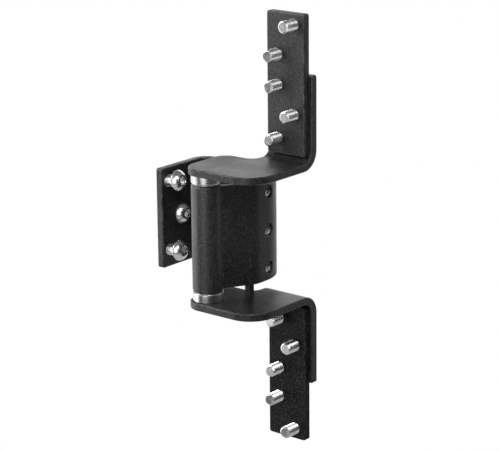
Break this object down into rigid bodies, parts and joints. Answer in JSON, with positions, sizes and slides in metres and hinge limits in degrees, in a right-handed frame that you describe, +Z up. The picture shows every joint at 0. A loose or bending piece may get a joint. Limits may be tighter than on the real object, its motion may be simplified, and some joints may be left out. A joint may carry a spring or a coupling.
{
  "type": "concealed door hinge",
  "caption": "Concealed door hinge: a gooseneck leaf welded to a barrel that swings between two angle brackets, each with a long screwed strap for the frame.",
  "frame": {"origin": "on the hinge's swing axis, at the middle of the barrel's height", "axes": "+Z up along the swing axis, +X from the barrel towards the frame straps, +Y towards the flat end of the leaf that the door is screwed to, with the door open"},
  "size_m": [0.074, 0.1149, 0.285],
  "materials": {
    "black_coat": "satin black powder coat with a fine texture",
    "dark_pin": "black satin",
    "polished_steel": "bright turned steel",
    "bright_screw": "bright stainless screw",
    "bronze": "plain sintered bronze"
  },
  "bodies": {
    "frame_side": {"upper_bracket": "black_coat", "lower_bracket": "black_coat", "upper_strap": "black_coat", "lower_strap": "black_coat", "upper_pivot_pin": "polished_steel", "lower_pivot_pin": "polished_steel", "upper_thrust_washer": "dark_pin", "lower_thrust_washer": "dark_pin", "stop_pin": "dark_pin", "upper_strap_screw_1": "bright_screw", "upper_strap_screw_2": "bright_screw", "upper_strap_screw_3": "bright_screw", "upper_strap_screw_4": "bright_screw", "upper_strap_screw_5": "bright_screw", "lower_strap_screw_1": "bright_screw", "lower_strap_screw_2": "bright_screw", "lower_strap_screw_3": "bright_screw", "lower_strap_screw_4": "bright_screw", "lower_strap_screw_5": "bright_screw"},
    "door_side": {"barrel_tube": "black_coat", "upper_bush": "bronze", "lower_bush": "bronze", "leaf_plate": "black_coat", "outer_weld": "black_coat", "inner_weld": "black_coat", "adjuster_top": "bright_screw", "adjuster_middle": "bright_screw", "adjuster_bottom": "bright_screw", "door_screw_upper": "bright_screw", "door_screw_middle": "bright_screw", "door_screw_lower": "bright_screw"}
  },
  "joints": [
    {"name": "leaf_swing", "type": "hinge", "parent": "frame_side", "child": "door_side", "pos_m": [0, 0, 0], "axis": [0, 0, 1], "range_deg": [-90, 0]}
  ]
}
